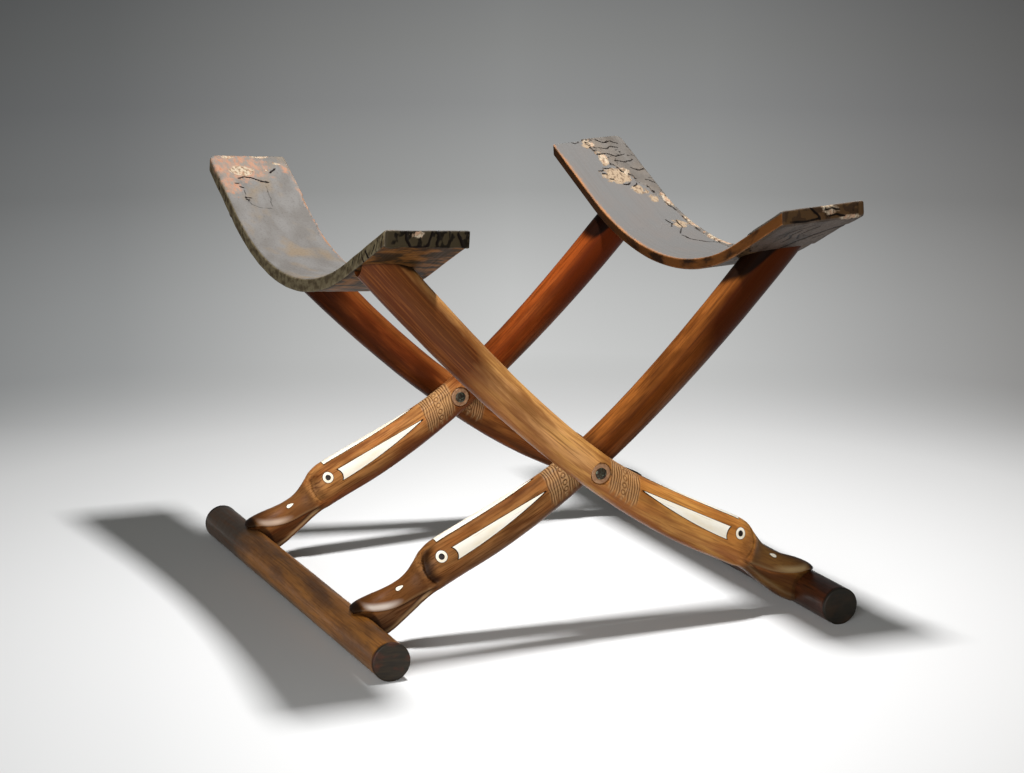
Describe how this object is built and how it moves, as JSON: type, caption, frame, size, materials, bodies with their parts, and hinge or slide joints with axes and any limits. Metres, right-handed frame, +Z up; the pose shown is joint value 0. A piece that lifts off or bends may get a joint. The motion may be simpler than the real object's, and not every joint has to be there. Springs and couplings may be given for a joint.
{
  "type": "folding stool",
  "caption": "Wooden X-frame folding stool with dished seat rails, round foot rails and legs carved as duck heads with ivory-coloured inlay; its slung seat is missing.",
  "frame": {"origin": "on the floor under the middle of the open stool, half way between the foot rails and half way along them", "axes": "+Z up; +Y along the foot and seat rails, away from the side that the picture shows nearest; +X from the outer frame's seat rail to its foot rail"},
  "size_m": [0.432, 0.4624, 0.3587],
  "materials": {
    "leg_wood": "hand polished, worn",
    "rail_wood": "hand polished, worn",
    "seat_wood": "bare, stained dark",
    "dark_wood": "end grain, nearly black",
    "hide": "dry, cracked and flaking",
    "ivory": "polished, aged",
    "ebony": "polished, nearly black",
    "bronze": "dark brown patina"
  },
  "bodies": {
    "outer_frame": {"outer_seat_rail": "seat_wood", "outer_seat_hide": "hide", "outer_leg_front": "leg_wood", "outer_leg_back": "leg_wood", "outer_foot_rail": "rail_wood", "outer_foot_disc_front": "dark_wood", "outer_foot_disc_back": "dark_wood", "outer_stripes_front": "ivory", "outer_eye_rings_front": "ivory", "outer_pupils_front": "ebony", "outer_nostrils_front": "ivory", "outer_stripes_back": "ivory", "outer_eye_rings_back": "ivory", "outer_pupils_back": "ebony", "outer_nostrils_back": "ivory", "rivet_front": "bronze", "washer_front_outside": "bronze", "washer_front_inside": "bronze", "rivet_back": "bronze", "washer_back_outside": "bronze", "washer_back_inside": "bronze"},
    "inner_frame": {"inner_seat_rail": "seat_wood", "inner_seat_hide": "hide", "inner_leg_front": "leg_wood", "inner_leg_back": "leg_wood", "inner_foot_rail": "rail_wood", "inner_foot_disc_front": "dark_wood", "inner_foot_disc_back": "dark_wood", "inner_stripes_front": "ivory", "inner_eye_rings_front": "ivory", "inner_pupils_front": "ebony", "inner_nostrils_front": "ivory", "inner_stripes_back": "ivory", "inner_eye_rings_back": "ivory", "inner_pupils_back": "ebony", "inner_nostrils_back": "ivory"}
  },
  "joints": [
    {"name": "fold", "type": "hinge", "parent": "outer_frame", "child": "inner_frame", "pos_m": [0, 0, 0.138], "axis": [0, -1, 0], "range_deg": [0, 62]}
  ]
}
